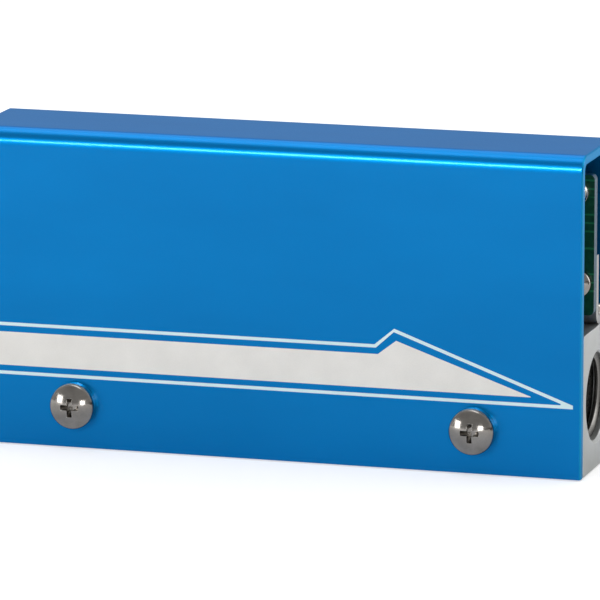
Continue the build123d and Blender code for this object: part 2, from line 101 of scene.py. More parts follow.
def pickVerts(piece, wanted):
    # in edit mode, selects the points that pass the test, and what lies between them
    bpy.ops.mesh.select_mode(type="VERT")
    mesh = bmesh.from_edit_mesh(piece.data)
    for vert in mesh.verts:
        vert.select = wanted(vert.co)
    mesh.select_flush_mode()
    bmesh.update_edit_mesh(piece.data)


def finishPiece(piece, name, material, smooth=30):
    applyPlace(piece)
    piece.name = name
    piece.data.name = name
    piece.data.materials.clear()
    piece.data.materials.append(material)
    bpy.ops.object.shade_smooth_by_angle(angle=radians(smooth))
    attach(piece, "root")


def joinPieces(pieces):
    deselectAll()
    for piece in pieces:
        piece.select_set(True)
    bpy.context.view_layer.objects.active = pieces[0]
    bpy.ops.object.join()
    return pieces[0]


def copyPiece(piece, shift):
    twin = piece.copy()
    twin.data = piece.data.copy()
    bpy.context.scene.collection.objects.link(twin)
    twin.location = piece.location + Vector(shift) * mm
    return twin


def tone(red, green, blue):
    # a screen colour, 0 to 255, as the linear colour that shaders take
    def linear(value):
        value = value / 255
        return value / 12.92 if value <= 0.04045 else ((value + 0.055) / 1.055) ** 2.4
    return (linear(red), linear(green), linear(blue), 1)


def grey(value):
    return (value, value, value, 1)


# the camera is fitted to the picture's edges
cameraValues = {
    "place": (260.347, -853.482, 199.837),
    "turn": 16.882,  # degrees to the left
    "tilt": 11.248,  # degrees down
    "roll": 0.042,  # degrees
    "lens": 365.034,
    "sensor": 36,
    "clip": (0.02, 20),  # metres
}

cameraData = bpy.data.cameras.new("camera")
cameraData.lens = cameraValues["lens"]
cameraData.sensor_width = cameraValues["sensor"]
cameraData.clip_start, cameraData.clip_end = cameraValues["clip"]
camera = bpy.data.objects.new("camera", cameraData)
bpy.context.scene.collection.objects.link(camera)
camera.matrix_world = (
    Matrix.Translation(Vector(cameraValues["place"]) * mm)
    @ Matrix.Rotation(radians(cameraValues["turn"]), 4, "Z")
    @ Matrix.Rotation(radians(90 - cameraValues["tilt"]), 4, "X")
    @ Matrix.Rotation(radians(-cameraValues["roll"]), 4, "Z")
)
bpy.context.scene.camera = camera
bpy.context.scene.view_settings.view_transform = "Standard"
print("camera set")


# place, aim and size across and up are in metres
lampValues = {
    "keyPanel": {"place": (-0.36, -1.12, 0.5), "aim": (0, 0, 0.04), "size": (0.8, 0.16),
                 "watts": 5.4, "inGloss": False},
    "topPanel": {"place": (-0.1, -0.1, 1.0), "aim": (0, 0, 0.03), "size": (1.0, 0.3), "watts": 1.6},
    "backPanel": {"place": (-0.1, 0.6, 0.9), "aim": (0, 0, 0.03), "size": (1.0, 0.6), "watts": 2.0},
    "leftPanel": {"place": (-0.98, -0.85, 0.12), "aim": (0, 0, 0.04), "size": (0.35, 0.5),
                  "watts": 3.0},
    "nearPanel": {"place": (0.42, -1.25, 0.09), "aim": (0, 0, 0.04), "size": (0.26, 0.26),
                  "watts": 1.9},
    "sidePanel": {"place": (0.75, 0.35, 0.3), "aim": (0.04, 0, 0.02), "size": (0.35, 0.5),
                  "watts": 1.2},
    "glintPanel": {"place": (-0.3, -1.14, 0.5), "aim": (0, 0, 0.04), "size": (0.34, 0.2),
                   "watts": 4.8, "glossOf": "cover"},  # draws the bright line along the front bend
}

for lampName, values in lampValues.items():
    lampData = bpy.data.lights.new(lampName, "AREA")
    lampData.shape = "RECTANGLE"
    lampData.size, lampData.size_y = values["size"]
    lampData.energy = values["watts"]
    lamp = bpy.data.objects.new(lampName, lampData)
    bpy.context.scene.collection.objects.link(lamp)
    lamp.location = values["place"]
    toAim = Vector(values["aim"]) - Vector(values["place"])
    lamp.rotation_euler = toAim.to_track_quat("-Z", "Y").to_euler()
    lamp.visible_glossy = values.get("inGloss", True)
    if "glossOf" in values:
        lamp.visible_diffuse = False
        lit = bpy.data.collections.new(lampName + "Lit")
        lit.objects.link(nodes[values["glossOf"]])
        lamp.light_linking.receiver_collection = lit


class Graph:
    # a node tree, with short ways to add nodes and join them
    def __init__(self, tree):
        self.tree = tree

    def add(self, kind, **values):
        node = self.tree.nodes.new("ShaderNode" + kind)
        for key, value in values.items():
            setattr(node, key, value)
        return node

    def link(self, start, end):
        self.tree.links.new(start, end)

    def feed(self, socket, value):
        # what comes from a node is linked, and a plain value is set
        if isinstance(value, bpy.types.NodeSocket):
            self.link(value, socket)
        else:
            socket.default_value = value

    def maths(self, operation, *values):
        node = self.add("Math", operation=operation)
        for socket, value in zip(node.inputs, values):
            self.feed(socket, value)
        return node.outputs[0]

    def vectorMaths(self, operation, *values):
        node = self.add("VectorMath", operation=operation)
        for socket, value in zip(node.inputs, values):
            self.feed(socket, value)
        return node.outputs["Value" if operation in ("LENGTH", "DOT_PRODUCT") else "Vector"]

    def spread(self, source, low, high, start=0.3, end=0.7):
        node = self.add("MapRange")
        node.inputs["From Min"].default_value = start
        node.inputs["From Max"].default_value = end
        node.inputs["To Min"].default_value = low
        node.inputs["To Max"].default_value = high
        self.link(source, node.inputs["Value"])
        return node.outputs["Result"]

    def axis(self, source, name):
        node = self.add("SeparateXYZ")
        self.link(source, node.inputs[0])
        return node.outputs[name]


class Finish(Graph):
    # one node material, built up from its coordinates to its shader
    def __init__(self, name, metallic=0.0, specular=0.5):
        self.material = bpy.data.materials.new(name)
        self.material.use_nodes = True
        super().__init__(self.material.node_tree)
        self.shader = self.tree.nodes["Principled BSDF"]
        self.shader.inputs["Metallic"].default_value = metallic
        self.shader.inputs["Specular IOR Level"].default_value = specular
        self.coords = self.add("TexCoord").outputs["Object"]

    def noise(self, size, detail=3, roughness=0.5, stretch=(1, 1, 1)):
        # size is the width of one blotch, divided along each axis by its stretch
        mapping = self.add("Mapping")
        mapping.inputs["Scale"].default_value = [1 / (size * mm * share) for share in stretch]
        node = self.add("TexNoise")
        node.inputs["Scale"].default_value = 1
        node.inputs["Detail"].default_value = detail
        node.inputs["Roughness"].default_value = roughness
        self.link(self.coords, mapping.inputs["Vector"])
        self.link(mapping.outputs[0], node.inputs["Vector"])
        return node.outputs["Fac"]

    def blend(self, factor, first, second):
        node = self.add("Mix", data_type="RGBA")
        self.link(factor, node.inputs[0])
        self.feed(node.inputs[6], first)
        self.feed(node.inputs[7], second)
        return node.outputs[2]

    def roundedNormal(self, radius):
        node = self.add("Bevel", samples=4)
        node.inputs["Radius"].default_value = radius * mm
        return node.outputs["Normal"]

    def edges(self, radius):
        # near 1 on edges that touch, rub or were cut
        plain = self.add("NewGeometry").outputs["Normal"]
        likeness = self.vectorMaths("DOT_PRODUCT", self.roundedNormal(radius), plain)
        return self.spread(likeness, 1, 0, 0.85, 0.99)

    def bump(self, height, distance, strength=0.5, soften=0):
        node = self.add("Bump")
        node.inputs["Distance"].default_value = distance * mm
        node.inputs["Strength"].default_value = strength
        self.link(height, node.inputs["Height"])
        if soften:
            self.link(self.roundedNormal(soften), node.inputs["Normal"])
        self.link(node.outputs["Normal"], self.shader.inputs["Normal"])

    def colour(self, source):
        self.link(source, self.shader.inputs["Base Color"])

    def roughness(self, source):
        self.link(source, self.shader.inputs["Roughness"])


worldValues = {
    "seen": 1.0,  # white where the camera sees it, also through clear pieces
    "glossyShare": 0.2,  # how much of that white the gloss shows
    "shade": 0.8,  # the grey that lights the object otherwise
    "behind": 0.75,  # its strength behind the object
    "front": 0.16,  # and on the camera's side
    "turnover": 0.7,  # how far from the middle it goes from one to the other
}

world = bpy.data.worlds.new("studio")
bpy.context.scene.world = world
world.use_nodes = True
studio = Graph(world.node_tree)
studio.tree.nodes.clear()
rays = studio.add("LightPath").outputs
depth = studio.axis(studio.add("TexCoord").outputs["Generated"], "Y")
around = studio.add("Background")
around.inputs["Color"].default_value = grey(worldValues["shade"])
studio.link(
    studio.spread(depth, worldValues["front"], worldValues["behind"],
                  -worldValues["turnover"], worldValues["turnover"]),
    around.inputs["Strength"])
seen = studio.add("Background")
seen.inputs["Color"].default_value = grey(1)
seen.inputs["Strength"].default_value = worldValues["seen"]
seenThrough = studio.maths("MAXIMUM", rays["Is Camera Ray"], rays["Is Transmission Ray"])
white = studio.maths("MULTIPLY_ADD", rays["Is Glossy Ray"], worldValues["glossyShare"], seenThrough)
white.node.use_clamp = True
mixer = studio.add("MixShader")
studio.link(white, mixer.inputs["Fac"])
studio.link(around.outputs[0], mixer.inputs[1])
studio.link(seen.outputs[0], mixer.inputs[2])
studio.link(mixer.outputs[0], studio.add("OutputWorld").inputs[0])

floorValues = {
    "size": 8, "drop": 0.0002,  # metres
    "shade": 0.8, "glow": 0.55, "rough": 0.9, "specular": 0.1,
    "near": 0.02, "far": 0.3,  # metres from the object's middle
    # what gloss sees of the paper's shade and glow, darker and dimmer near the object: painted
    # shade that shows only in reflections
    "nearShade": 0.6, "nearShare": 0.3, "farShare": 0.6,
}

deselectAll()
bpy.ops.mesh.primitive_plane_add(size=floorValues["size"], location=(0, 0, -floorValues["drop"]))
floor = bpy.context.active_object
floor.name = "floor"
paper = Finish("floorPaper", 0, floorValues["specular"])
paper.shader.inputs["Roughness"].default_value = floorValues["rough"]
paper.shader.inputs["Emission Color"].default_value = grey(1)
rays = paper.add("LightPath").outputs
away = paper.vectorMaths("LENGTH", paper.coords)
reach = (floorValues["near"], floorValues["far"])
share = paper.spread(away, floorValues["nearShare"], floorValues["farShare"], *reach)
seenThrough = paper.maths("MAXIMUM", rays["Is Camera Ray"], rays["Is Transmission Ray"])
shown = paper.maths("MULTIPLY_ADD", rays["Is Glossy Ray"], share, seenThrough)
glow = paper.maths("MULTIPLY", shown, floorValues["glow"])
paper.link(glow, paper.shader.inputs["Emission Strength"])
# near the object the floor seen in reflections is painted darker: painted shade
paintedShadeNearObject = paper.maths("MULTIPLY", rays["Is Glossy Ray"], paper.spread(away, 1, 0, *reach))
paper.colour(paper.blend(paintedShadeNearObject, grey(floorValues["shade"]), grey(floorValues["nearShade"])))
floor.data.materials.append(paper.material)

# a dark card low on the right, seen only in reflections, gives the shiny screws their contrast
cardValues = {
    "place": (0.5, -0.45, 0.05), "size": (0.5, 0.9), "turn": (0, -20, 10),  # metres and degrees
    "shade": tone(70, 62, 56), "rough": 0.9,
}

deselectAll()
bpy.ops.mesh.primitive_plane_add(
    size=1, location=cardValues["place"], rotation=[radians(turn) for turn in cardValues["turn"]])
card = bpy.context.active_object
card.name = "card"
card.scale = (*cardValues["size"], 1)
cardPaper = Finish("cardPaper")
cardPaper.shader.inputs["Base Color"].default_value = cardValues["shade"]
cardPaper.shader.inputs["Roughness"].default_value = cardValues["rough"]
card.data.materials.append(cardPaper.material)
card.visible_camera = False
card.visible_diffuse = False
card.visible_shadow = False
print("lamps, world and floor set")


# how the broad and the fine blotches of a plain finish are mixed
mottleValues = {
    "broadShare": 0.55, "broadDetail": 2,
    "fineShare": 0.45, "fineDetail": 4, "fineRoughness": 0.6,
}


def plainFinish(name, values):
    # two tones in blotches, worn edges, fine grain in the gloss and in the surface
    finish = Finish(name, values.get("metallic", 0), values.get("specular", 0.5))
    broad = finish.noise(values["broad"], mottleValues["broadDetail"])
    fine = finish.noise(values["fine"], mottleValues["fineDetail"], mottleValues["fineRoughness"],
                        values.get("stretch", (1, 1, 1)))
    broadPart = finish.maths("MULTIPLY", broad, mottleValues["broadShare"])
    mottle = finish.maths("MULTIPLY_ADD", fine, mottleValues["fineShare"], broadPart)
    colour = finish.blend(finish.spread(mottle, 0, 1), values["dark"], values["light"])
    if "worn" in values:
        colour = finish.blend(finish.edges(values["wornWidth"]), colour, values["worn"])
    finish.colour(colour)
    finish.roughness(finish.spread(fine, *values["rough"]))
    finish.bump(fine, values["bump"], soften=values.get("soften", 0))
    return finish.material


# broad, fine, bump, wornWidth and soften are widths and heights in millimetres
finishValues = {
    "machinedAluminium": {
        "dark": tone(192, 195, 193), "light": tone(216, 218, 217), "metallic": 0.9,
        "broad": 6, "fine": 0.25, "stretch": (6, 1, 1), "rough": (0.3, 0.45), "bump": 0.004,
        "worn": tone(235, 235, 235), "wornWidth": 0.25, "soften": 0.12,
    },
    "polishedSteel": {
        "dark": tone(146, 141, 136), "light": tone(182, 178, 172), "metallic": 1.0,
        "broad": 2, "fine": 0.12, "rough": (0.1, 0.18), "bump": 0.002,
        "worn": tone(206, 203, 198), "wornWidth": 0.15, "soften": 0.1,
    },
    "flutedSteel": {
        "dark": tone(160, 160, 160), "light": tone(190, 190, 190), "metallic": 1.0,
        "broad": 3, "fine": 0.2, "stretch": (8, 1, 1), "rough": (0.25, 0.4), "bump": 0.004,
        "soften": 0.08,
    },
    "springSteel": {
        "dark": tone(66, 62, 60), "light": tone(94, 90, 86), "metallic": 0.9,
        "broad": 2, "fine": 0.15, "rough": (0.3, 0.45), "bump": 0.003, "soften": 0.06,
    },
    "brushedSteel": {
        "dark": tone(166, 166, 168), "light": tone(202, 202, 204), "metallic": 1.0,
        "broad": 5, "fine": 0.15, "stretch": (10, 1, 1), "rough": (0.22, 0.38), "bump": 0.003,
        "soften": 0.1,
    },
    "blackRubber": {
        "dark": tone(26, 26, 27), "light": tone(38, 38, 39), "specular": 0.35,
        "broad": 2, "fine": 0.1, "rough": (0.65, 0.8), "bump": 0.006, "soften": 0.08,
    },
    "blackSteel": {
        "dark": tone(34, 34, 36), "light": tone(54, 54, 56), "metallic": 0.7,
        "broad": 2, "fine": 0.12, "rough": (0.35, 0.5), "bump": 0.003,
        "worn": tone(110, 110, 112), "wornWidth": 0.1, "soften": 0.08,
    },
    "zincSteel": {
        "dark": tone(158, 160, 162), "light": tone(200, 200, 196), "metallic": 0.95,
        "broad": 1.5, "fine": 0.3, "rough": (0.28, 0.42), "bump": 0.003, "soften": 0.1,
    },
    "whiteNylon": {
        "dark": tone(226, 221, 208), "light": tone(236, 232, 221), "specular": 0.45,
        "broad": 4, "fine": 0.12, "rough": (0.42, 0.55), "bump": 0.004, "soften": 0.12,
    },
    "tinnedPins": {
        "dark": tone(196, 190, 176), "light": tone(224, 220, 208), "metallic": 1.0,
        "broad": 1, "fine": 0.1, "rough": (0.18, 0.3), "bump": 0.002, "soften": 0.06,
    },
    "blackChip": {
        "dark": tone(36, 36, 37), "light": tone(50, 50, 51), "specular": 0.4,
        "broad": 2, "fine": 0.06, "rough": (0.5, 0.62), "bump": 0.004, "soften": 0.06,
    },
    "blackBase": {
        "dark": tone(30, 30, 31), "light": tone(42, 42, 43), "specular": 0.4,
        "broad": 1.5, "fine": 0.1, "rough": (0.45, 0.6), "bump": 0.003, "soften": 0.06,
    },
    "canAluminium": {
        "dark": tone(196, 197, 199), "light": tone(222, 223, 225), "metallic": 0.95,
        "broad": 2, "fine": 0.12, "stretch": (1, 6, 1), "rough": (0.22, 0.34), "bump": 0.002,
        "soften": 0.08,
    },
    "canMetal": {
        "dark": tone(190, 188, 182), "light": tone(222, 220, 214), "metallic": 1.0,
        "broad": 2, "fine": 0.15, "rough": (0.12, 0.24), "bump": 0.002, "soften": 0.1,
    },
    "greyFerrite": {
        "dark": tone(58, 58, 60), "light": tone(76, 76, 78), "specular": 0.3,
        "broad": 1.5, "fine": 0.08, "rough": (0.6, 0.75), "bump": 0.006, "soften": 0.1,
    },
    "chipBody": {
        "dark": tone(28, 28, 30), "light": tone(40, 40, 43),
        "broad": 0.8, "fine": 0.06, "rough": (0.25, 0.4), "bump": 0.002, "soften": 0.05,
    },
    "chipCeramic": {
        "dark": tone(150, 122, 92), "light": tone(172, 144, 112), "specular": 0.45,
        "broad": 0.8, "fine": 0.06, "rough": (0.4, 0.55), "bump": 0.003, "soften": 0.05,
    },
    "leadWire": {
        "dark": tone(176, 112, 62), "light": tone(206, 142, 84), "metallic": 0.8,
        "broad": 1, "fine": 0.08, "rough": (0.25, 0.4), "bump": 0.002,
    },
    "solder": {
        "dark": tone(176, 178, 180), "light": tone(214, 214, 214), "metallic": 1.0,
        "broad": 0.6, "fine": 0.15, "rough": (0.2, 0.38), "bump": 0.006,
    },
    "silverInk": {
        "dark": tone(234, 232, 227), "light": tone(246, 244, 239), "metallic": 0.1,
        "specular": 0.35, "broad": 5, "fine": 0.12, "rough": (0.45, 0.6), "bump": 0.003,
    },
    "whiteInk": {
        "dark": tone(214, 240, 246), "light": tone(226, 247, 250), "specular": 0.35,
        "broad": 5, "fine": 0.12, "rough": (0.45, 0.6), "bump": 0.003,
    },
}
finishes = {name: plainFinish(name, values) for name, values in finishValues.items()}

coverLow, coverHigh = boxOf("cover")
anodisedValues = {
    "dark": tone(1, 122, 194), "light": tone(2, 129, 203), "grazing": (0.02, 0.46, 0.74, 1),
    "edge": tone(24, 166, 220), "edgeWidths": (0.3, 0.01),  # where the cut ends start and are full
    "metallic": 0.85, "specular": 0.2, "rough": (0.3, 0.38), "coat": 0.18, "coatRough": 0.08,
    "broad": 14, "stretch": (3, 1, 1), "grain": 0.09, "grainRoughness": 0.6,
    "bump": 0.003, "bumpStrength": 0.35, "soften": 0.12,
}
anodised = Finish("anodisedBlue", anodisedValues["metallic"], anodisedValues["specular"])
broad = anodised.noise(anodisedValues["broad"], stretch=anodisedValues["stretch"])
grain = anodised.noise(anodisedValues["grain"], roughness=anodisedValues["grainRoughness"])
sheetColour = anodised.blend(
    anodised.spread(broad, 0, 1), anodisedValues["dark"], anodisedValues["light"])
fromMiddle = anodised.maths("ABSOLUTE", anodised.axis(anodised.coords, "X"))
# the cut ends and their last fraction of a millimetre are a lighter blue: partly the bared cut,
# partly a painted highlight of the light that falls on them
bareAndLitCutEnd = anodised.spread(
    fromMiddle, 0, 1, *[(coverHigh.x - width) * mm for width in anodisedValues["edgeWidths"]])
anodised.colour(anodised.blend(bareAndLitCutEnd, sheetColour, anodisedValues["edge"]))
anodised.roughness(anodised.spread(grain, *anodisedValues["rough"]))
anodised.bump(grain, anodisedValues["bump"], anodisedValues["bumpStrength"],
              anodisedValues["soften"])
anodised.shader.inputs["Specular Tint"].default_value = anodisedValues["grazing"]
anodised.shader.inputs["Coat Weight"].default_value = anodisedValues["coat"]
anodised.shader.inputs["Coat Roughness"].default_value = anodisedValues["coatRough"]
finishes["anodisedBlue"] = anodised.material

boardValues = {
    "mask": tone(14, 84, 58), "maskDark": tone(8, 60, 44), "core": tone(30, 84, 112),
    "track": tone(32, 116, 78), "trackPitch": 1.27, "trackHalf": (0.12, 0.16),
    "gateSize": 4, "gateStretch": (3, 1, 1),
    "gate": (0.48, 0.5),  # tracks run where a broad noise is above this
    "coreFacing": (0.4, 0.6),  # the core shows where the surface doesn't face front or back
    "speckle": 0.8, "speckleDetail": 4, "speckleRoughness": 0.6,
    "specular": 0.3, "rough": (0.25, 0.4), "bump": 0.03, "bumpStrength": 0.6, "soften": 0.06,
}
board = Finish("circuitBoard", 0, boardValues["specular"])
speckle = board.noise(
    boardValues["speckle"], boardValues["speckleDetail"], boardValues["speckleRoughness"])
maskColour = board.blend(
    board.spread(speckle, 0, 1), boardValues["maskDark"], boardValues["mask"])
lane = board.maths("PINGPONG", board.axis(board.coords, "Z"), boardValues["trackPitch"] / 2 * mm)
onTrack = board.spread(lane, 1, 0, *[half * mm for half in boardValues["trackHalf"]])
gateNoise = board.noise(boardValues["gateSize"], 1, stretch=boardValues["gateStretch"])
gate = board.spread(gateNoise, 0, 1, *boardValues["gate"])
track = board.maths("MULTIPLY", onTrack, gate)
maskColour = board.blend(track, maskColour, boardValues["track"])
facing = board.maths("ABSOLUTE", board.axis(board.add("NewGeometry").outputs["Normal"], "Y"))
onEdge = board.spread(facing, 1, 0, *boardValues["coreFacing"])
board.colour(board.blend(onEdge, maskColour, boardValues["core"]))
board.roughness(board.spread(speckle, *boardValues["rough"]))
board.bump(track, boardValues["bump"], boardValues["bumpStrength"], boardValues["soften"])
finishes["circuitBoard"] = board.material

port = mounts["outlet_port"]
portWall = port["dims"]["r_mm"]
portUp = port["pos_m"][2] / mm
cutThreadValues = {
    "root": tone(40, 38, 36), "crest": tone(140, 138, 134), "metallic": 0.9,
    "rootDepth": 0.08, "crestDepth": 0.63,  # in from the wall of the port
    "fine": 0.15, "fineRoughness": 0.6, "stretch": (6, 1, 1), "rough": (0.22, 0.4), "bump": 0.004,
}
cutThread = Finish("cutThread", cutThreadValues["metallic"])
fine = cutThread.noise(cutThreadValues["fine"], roughness=cutThreadValues["fineRoughness"],
                       stretch=cutThreadValues["stretch"])
fromAxis = cutThread.vectorMaths("SUBTRACT", cutThread.coords, (0, 0, portUp * mm))
fromAxis = cutThread.vectorMaths("MULTIPLY", fromAxis, (0, 1, 1))
# the thread is darker at its roots than at its crests: painted shade in the grooves
crest = cutThread.spread(
    cutThread.vectorMaths("LENGTH", fromAxis), 0, 1,
    (portWall - cutThreadValues["rootDepth"]) * mm,
    (portWall - cutThreadValues["crestDepth"]) * mm)
cutThread.colour(cutThread.blend(crest, cutThreadValues["root"], cutThreadValues["crest"]))
cutThread.roughness(cutThread.spread(fine, *cutThreadValues["rough"]))
cutThread.bump(fine, cutThreadValues["bump"])
finishes["cutThread"] = cutThread.material

wireValues = {
    "dark": tone(120, 58, 20), "light": tone(176, 96, 40), "metallic": 0.4, "specular": 0.6,
    "pitch": 0.14, "bump": 0.05, "bumpStrength": 0.8, "fine": 0.2, "rough": (0.25, 0.4),
}
wire = Finish("enamelledWire", wireValues["metallic"], wireValues["specular"])
halfPitch = wireValues["pitch"] / 2 * mm
turn = wire.maths("PINGPONG", wire.axis(wire.coords, "X"), halfPitch)
ridge = wire.spread(turn, 0, 1, 0, halfPitch)
# each turn is darker where it meets the next and lighter on its crown: painted shade between the
# turns and a painted highlight on them
wire.colour(wire.blend(ridge, wireValues["dark"], wireValues["light"]))
wire.roughness(wire.spread(wire.noise(wireValues["fine"]), *wireValues["rough"]))
wire.bump(ridge, wireValues["bump"], wireValues["bumpStrength"])
finishes["enamelledWire"] = wire.material
print("finishes made:", len(finishes))

nodeFinishes = {
    "cover": "anodisedBlue",
    "cover_screws": "polishedSteel",
    "flow_block": "machinedAluminium",
    "bypass_element": "flutedSteel",
    "inlet_screen": "flutedSteel",
    "retaining_ring": "springSteel",
    "sensor_base": "brushedSteel",
    "sensor_seals": "blackRubber",
    "sensor_tube": "brushedSteel",
    "upstream_winding": "enamelledWire",
    "downstream_winding": "enamelledWire",
    "sensor_leads": "leadWire",
    "sensor_cap": "brushedSteel",
    "sensor_screws": "blackSteel",
    "circuit_board": "circuitBoard",
    "inlet_bracket": "zincSteel",
    "outlet_bracket": "zincSteel",
    "bracket_screws": "polishedSteel",
    "board_screws": "polishedSteel",
    "connector_shell": "whiteNylon",
    "connector_pins": "tinnedPins",
    "controller_chip": "blackChip",
    "amplifier_chips": "blackChip",
    "voltage_regulator": "blackChip",
    "capacitor_bases": "blackBase",
    "capacitor_cans": "canAluminium",
    "crystal": "canMetal",
    "power_inductor": "greyFerrite",
    "chip_resistors": "chipBody",
    "chip_capacitors": "chipCeramic",
}
for nodeName, finishName in nodeFinishes.items():
    slots = nodes[nodeName].data.materials
    slots.clear()
    slots.append(finishes[finishName])
print("nodes dressed:", len(nodeFinishes))


# the arrow band printed on the front face, in the part's own frame
arrowValues = {
    "proud": 0.04, "sunk": 0.02,
    "outline": {"left": -46.2, "bottom": 10.6, "top": 18.55,
                "notch": 15.85, "peak": (18.85, 21.05), "tip": (46.05, 11.15)},
    "outlineInside": {"left": -45.7, "bottom": 11.1, "top": 18.05,
                      "notch": 16.04, "peak": (18.8, 20.54), "tip": (44.2, 11.3)},
    "field": {"left": -45.2, "bottom": 12.0, "top": 17.1,
              "notch": 16.35, "peak": (19.15, 19.25), "tip": (39.65, 12.1)},
}


def arrowShape(shape):
    # a flat band that steps up to a peak and runs down to a tip, grown edge by edge from a plane
    wide = shape["notch"] - shape["left"]
    high = shape["top"] - shape["bottom"]
    across = (shape["notch"] + shape["left"]) / 2
    up = (shape["top"] + shape["bottom"]) / 2
    deselectAll()
    bpy.ops.mesh.primitive_plane_add(
        size=1, location=Vector((across, coverLow.y, up)) * mm, rotation=(radians(90), 0, 0))
    piece = bpy.context.active_object
    piece.scale = (wide * mm, high * mm, 1)
    applyPlace(piece)
    editPiece(piece)
    steps = (
        (shape["notch"], shape["peak"], shape["top"]),
        (shape["peak"][0], shape["tip"], shape["peak"][1]),
    )
    for edgeX, (nextX, nextTop), oldTop in steps:
        pickVerts(piece, lambda co: abs(co.x - edgeX * mm) < samePlace)
        bpy.ops.mesh.extrude_region_move(
            TRANSFORM_OT_translate={"value": ((nextX - edgeX) * mm, 0, 0)})
        pickVerts(piece, lambda co: abs(co.x - nextX * mm) < samePlace
                  and abs(co.z - oldTop * mm) < samePlace)
        bpy.ops.transform.translate(value=(0, 0, (nextTop - oldTop) * mm))
    endEdit()
    return piece


def thickenPrint(piece):
    # a print is a thin skin, its back just inside the sheet's face
    thickness = arrowValues["proud"] + arrowValues["sunk"]
    skin = piece.modifiers.new("skin", "SOLIDIFY")
    skin.thickness = thickness * mm
    skin.offset = (arrowValues["proud"] - arrowValues["sunk"]) / thickness
    applyModifiers(piece)


outline = joinPieces([arrowShape(arrowValues[name]) for name in ("outline", "outlineInside")])
editPiece(outline)
bpy.ops.mesh.dissolve_faces()
bpy.ops.mesh.delete(type="ONLY_FACE")
bpy.ops.mesh.select_all(action="SELECT")
bpy.ops.mesh.bridge_edge_loops()
bpy.ops.mesh.normals_make_consistent(inside=False)
endEdit()
thickenPrint(outline)
finishPiece(outline, "arrow_outline", finishes["whiteInk"])
field = arrowShape(arrowValues["field"])
thickenPrint(field)
finishPiece(field, "arrow_field", finishes["silverInk"])
print("arrow band made")


# turns of thread in the ports and in the mounting holes, from the first to the last depth
portThreadValues = {"height": 0.81, "pitch": 1.337, "first": 0.9, "last": 10.2}
mountingThreadValues = {"height": 0.37, "pitch": 0.7, "first": 0.6, "last": 4.6}
threadValues = {
    "sunk": 0.05,  # the ridge starts this far inside the wall
    "rootShare": 0.94,  # of the pitch, at the wall
    "crestShare": 0.2,  # of the root, at the crest
    "steps": 48, "smooth": 20,
}


def threadTurns(name, mouth, axis, wall, values):
    wide = values["height"] + threadValues["sunk"]
    middle = wall + (threadValues["sunk"] - values["height"]) / 2
    deselectAll()
    bpy.ops.mesh.primitive_plane_add(
        size=1, location=(middle * mm, 0, values["first"] * mm), rotation=(radians(90), 0, 0))
    piece = bpy.context.active_object
    piece.scale = (wide * mm, values["pitch"] * threadValues["rootShare"] * mm, 1)
    applyPlace(piece)
    editPiece(piece)
    pickVerts(piece, lambda co: co.x < middle * mm)
    bpy.ops.transform.resize(value=(1, 1, threadValues["crestShare"]))
    bpy.ops.mesh.select_all(action="SELECT")
    bpy.ops.mesh.delete(type="ONLY_FACE")
    endEdit()
    screw = piece.modifiers.new("turns", "SCREW")
    screw.axis = "Z"
    screw.angle = 2 * pi
    screw.screw_offset = values["pitch"] * mm
    screw.iterations = int((values["last"] - values["first"]) / values["pitch"])
    screw.steps = threadValues["steps"]
    screw.render_steps = threadValues["steps"]
    screw.use_merge_vertices = True
    screw.merge_threshold = samePlace
    applyModifiers(piece)
    editPiece(piece)
    bpy.ops.mesh.fill_holes(sides=4)
    bpy.ops.mesh.select_all(action="SELECT")
    bpy.ops.mesh.normals_make_consistent(inside=False)
    endEdit()
    turned = Vector(axis).to_track_quat("Z", "Y").to_matrix().to_4x4()
    piece.matrix_world = Matrix.Translation(Vector(mouth) * mm) @ turned
    finishPiece(piece, name, finishes["cutThread"], threadValues["smooth"])


blockLow, blockHigh = boxOf("flow_block")
threadTurns("inlet_port_thread", (blockLow.x, 0, portUp), (1, 0, 0), portWall, portThreadValues)
threadTurns("outlet_port_thread", (blockHigh.x, 0, portUp), (-1, 0, 0), portWall, portThreadValues)
holes = mounts["underside_holes"]["dims"]
for name, side in (("left_mounting_thread", -1), ("right_mounting_thread", 1)):
    mouth = (side * holes["spacing_x_mm"] / 2, 0, blockLow.z)
    threadTurns(name, mouth, (0, 0, 1), holes["hole_r_mm"], mountingThreadValues)
print("threads made")


# the front of the board faces -Y and carries the parts
boardLow, boardHigh = boxOf("circuit_board")
boardFront, boardBack = boardLow.y, boardHigh.y


def onBoard(along, up):
    # a place as a share of the board's half length and of its height
    return (along * boardHigh.x, boardLow.z + up * (boardHigh.z - boardLow.z))


def smallBlock(place, size, bevel):
    # a small block with bevelled edges
    deselectAll()
    bpy.ops.mesh.primitive_cube_add(size=1, location=Vector(place) * mm)
    piece = bpy.context.active_object
    piece.scale = Vector(size) * mm
    applyPlace(piece)
    editPiece(piece)
    bpy.ops.mesh.bevel(offset=bevel * mm, segments=2, affect="EDGES")
    endEdit()
    return piece


def roundStud(place, values, way=-1):
    # a round stud on a face that looks along way, its far end narrower and rounded off
    far = (place[1] + way * values["height"]) * mm
    deselectAll()
    bpy.ops.mesh.primitive_cone_add(
        vertices=values.get("sides", 24), radius1=values["radius"] * mm,
        radius2=values["radius"] * values["narrow"] * mm, depth=values["height"] * mm,
        location=(place[0] * mm, (place[1] + way * values["height"] / 2) * mm, place[2] * mm),
        rotation=(radians(-90 * way), 0, 0))
    piece = bpy.context.active_object
    applyPlace(piece)
    editPiece(piece)
    pickVerts(piece, lambda co: abs(co.y - far) < samePlace)
    bpy.ops.mesh.bevel(offset=values["bevel"] * mm, segments=3, affect="EDGES")
    endEdit()
    return piece


def spreadCopies(piece, shifts, name, material):
    # copies one small form to each place and joins the copies into one piece
    twins = [copyPiece(piece, shift) for shift in shifts]
    bpy.data.objects.remove(piece)
    for twin in twins:
        applyPlace(twin)
    finishPiece(joinPieces(twins), name, material)


